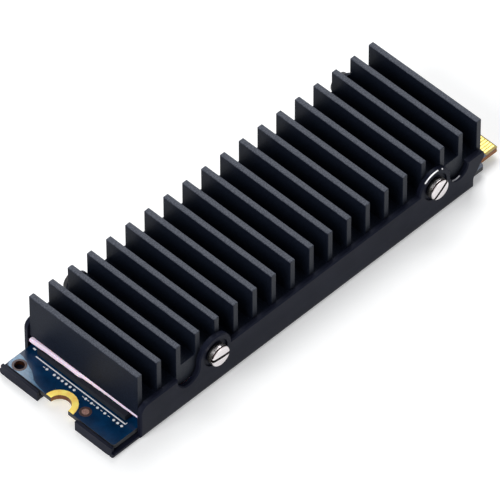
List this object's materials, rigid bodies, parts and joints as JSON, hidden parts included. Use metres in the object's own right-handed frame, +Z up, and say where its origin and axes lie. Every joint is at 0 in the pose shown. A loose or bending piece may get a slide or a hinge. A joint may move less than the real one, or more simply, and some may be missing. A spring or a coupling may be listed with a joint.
{
  "type": "ssd module",
  "caption": "Solid-state drive module: a card-edge board held in a folded tray under a finned black heat sink, joined by slotted side screws.",
  "frame": {"origin": "middle of the module's length and width, on the tray's flat underside", "axes": "+X along the board towards the card edge with the contacts, +Y across the board towards its far long side, +Z up from the tray through the fins"},
  "size_m": [0.0808, 0.0256, 0.0125],
  "materials": {
    "tray_black": "satin black coating",
    "heatsink_black": "matte black anodised",
    "board_blue": "glossy dark blue solder mask",
    "chip_black": "moulded matte black",
    "inductor_grey": "matte grey",
    "crystal_silver": "bright metal can",
    "capacitor_tan": "matte ceramic",
    "pad_pink": "soft matte",
    "screw_nickel": "bright nickel"
  },
  "bodies": {
    "root": {"tray": "tray_black", "heatsink": "heatsink_black", "circuit_board": "board_blue", "flash_chip_1": "chip_black", "flash_chip_2": "chip_black", "memory_chip": "chip_black", "controller_chip": "chip_black", "power_chip": "chip_black", "inductor_1": "inductor_grey", "inductor_2": "inductor_grey", "inductor_3": "inductor_grey", "crystal": "crystal_silver", "capacitor_1": "capacitor_tan", "capacitor_2": "capacitor_tan", "capacitor_3": "capacitor_tan", "capacitor_4": "capacitor_tan", "capacitor_5": "capacitor_tan", "capacitor_6": "capacitor_tan", "thermal_pad": "pad_pink", "screw_near_front": "screw_nickel", "screw_near_rear": "screw_nickel", "screw_far_front": "screw_nickel", "screw_far_rear": "screw_nickel"}
  },
  "joints": []
}
